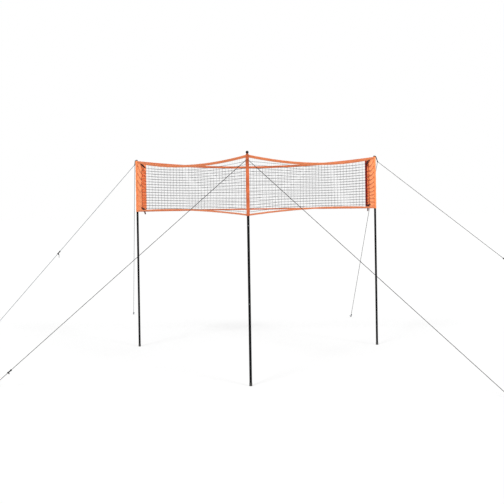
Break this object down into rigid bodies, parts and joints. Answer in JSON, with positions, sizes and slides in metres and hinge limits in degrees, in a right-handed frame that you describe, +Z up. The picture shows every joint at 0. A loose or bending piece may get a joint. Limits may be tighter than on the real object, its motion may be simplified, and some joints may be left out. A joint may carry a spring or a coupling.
{
  "type": "volleyball net on poles",
  "caption": "Free-standing volleyball net set: a V-shaped front net and a straight back net on slim poles, with guys, runners and ground pegs.",
  "frame": {"origin": "ground level, at the middle of the bounding box of the poles and nets", "axes": "+X along the back net towards the right pole, +Y from the near pole towards the back net, +Z up"},
  "size_m": [8.3049, 6.4726, 2.2939],
  "materials": {
    "pole_paint": "satin powder coat",
    "steel": "plain",
    "foot_rubber": "matte",
    "black_plastic": "fine grain",
    "sleeve_cloth": "woven, orange",
    "edge_tape": "woven tape, orange",
    "net_twine": "knotted twine, black",
    "webbing": "ribbed webbing, black",
    "guy_cord": "braided, grey"
  },
  "bodies": {
    "net_set": {"near_pole_lower": "pole_paint", "near_pole_middle": "pole_paint", "near_pole_upper": "pole_paint", "left_pole_lower": "pole_paint", "left_pole_middle": "pole_paint", "left_pole_upper": "pole_paint", "right_pole_lower": "pole_paint", "right_pole_middle": "pole_paint", "right_pole_upper": "pole_paint", "pole_spigots": "steel", "pole_feet": "foot_rubber", "near_ball_top": "black_plastic", "left_cap": "black_plastic", "right_cap": "black_plastic", "near_sleeve": "sleeve_cloth", "left_sleeve": "sleeve_cloth", "right_sleeve": "sleeve_cloth", "left_front_panel": "sleeve_cloth", "left_back_panel": "sleeve_cloth", "right_front_panel": "sleeve_cloth", "right_back_panel": "sleeve_cloth", "front_left_net": "net_twine", "front_right_net": "net_twine", "back_net": "net_twine", "front_left_top_tape": "edge_tape", "front_left_bottom_tape": "edge_tape", "front_right_top_tape": "edge_tape", "front_right_bottom_tape": "edge_tape", "back_top_tape": "edge_tape", "back_bottom_tape": "edge_tape", "corner_straps": "webbing", "corner_buckles": "black_plastic", "near_guy_loop": "guy_cord", "left_guy_loop": "guy_cord", "right_guy_loop": "guy_cord", "near_left_guy": "guy_cord", "near_right_guy": "guy_cord", "left_outer_guy": "guy_cord", "left_far_guy": "guy_cord", "right_outer_guy": "guy_cord", "right_far_guy": "guy_cord", "ground_pegs": "steel"},
    "near_left_runner": {"near_left_runner": "black_plastic"},
    "left_outer_runner": {"left_outer_runner": "black_plastic", "left_outer_tail": "guy_cord"},
    "right_outer_runner": {"right_outer_runner": "black_plastic"},
    "near_button_low": {"near_button_low": "steel"},
    "near_button_high": {"near_button_high": "steel"},
    "left_button_low": {"left_button_low": "steel"},
    "left_button_high": {"left_button_high": "steel"},
    "right_button_low": {"right_button_low": "steel"},
    "right_button_high": {"right_button_high": "steel"},
    "left_top_lever": {"left_top_lever": "black_plastic"},
    "left_bottom_lever": {"left_bottom_lever": "black_plastic"},
    "right_top_lever": {"right_top_lever": "black_plastic"},
    "right_bottom_lever": {"right_bottom_lever": "black_plastic"}
  },
  "joints": [
    {"name": "near_left_runner_slide", "type": "slide", "parent": "net_set", "child": "near_left_runner", "axis": [0.7571, -0.0085, 0.6532], "range_m": [-0.1, 0.5]},
    {"name": "left_outer_runner_slide", "type": "slide", "parent": "net_set", "child": "left_outer_runner", "axis": [0.6735, -0.2299, 0.7026], "range_m": [-0.4, 0.4]},
    {"name": "right_outer_runner_slide", "type": "slide", "parent": "net_set", "child": "right_outer_runner", "axis": [-0.7811, -0.1191, 0.6129], "range_m": [-0.4, 0.4]},
    {"name": "near_button_low_press", "type": "slide", "parent": "net_set", "child": "near_button_low", "axis": [0, 1, 0], "range_m": [0, 0.003], "stiffness_N_per_m": 2000, "springref_m": -0.002},
    {"name": "near_button_high_press", "type": "slide", "parent": "net_set", "child": "near_button_high", "axis": [0, 1, 0], "range_m": [0, 0.003], "stiffness_N_per_m": 2000, "springref_m": -0.002},
    {"name": "left_button_low_press", "type": "slide", "parent": "net_set", "child": "left_button_low", "axis": [0.866, -0.5, 0], "range_m": [0, 0.003], "stiffness_N_per_m": 2000, "springref_m": -0.002},
    {"name": "left_button_high_press", "type": "slide", "parent": "net_set", "child": "left_button_high", "axis": [0.866, -0.5, 0], "range_m": [0, 0.003], "stiffness_N_per_m": 2000, "springref_m": -0.002},
    {"name": "right_button_low_press", "type": "slide", "parent": "net_set", "child": "right_button_low", "axis": [-0.866, -0.5, 0], "range_m": [0, 0.003], "stiffness_N_per_m": 2000, "springref_m": -0.002},
    {"name": "right_button_high_press", "type": "slide", "parent": "net_set", "child": "right_button_high", "axis": [-0.866, -0.5, 0], "range_m": [0, 0.003], "stiffness_N_per_m": 2000, "springref_m": -0.002},
    {"name": "left_top_lever_hinge", "type": "hinge", "parent": "net_set", "child": "left_top_lever", "pos_m": [-1.36271, 1.16071, 2.22], "axis": [0, 0, -1], "range_deg": [0, 95]},
    {"name": "left_bottom_lever_hinge", "type": "hinge", "parent": "net_set", "child": "left_bottom_lever", "pos_m": [-1.36271, 1.16071, 1.693], "axis": [0, 0, -1], "range_deg": [0, 95]},
    {"name": "right_top_lever_hinge", "type": "hinge", "parent": "net_set", "child": "right_top_lever", "pos_m": [1.36271, 1.16071, 2.22], "axis": [0, 0, 1], "range_deg": [0, 95]},
    {"name": "right_bottom_lever_hinge", "type": "hinge", "parent": "net_set", "child": "right_bottom_lever", "pos_m": [1.36271, 1.16071, 1.693], "axis": [0, 0, 1], "range_deg": [0, 95]}
  ]
}
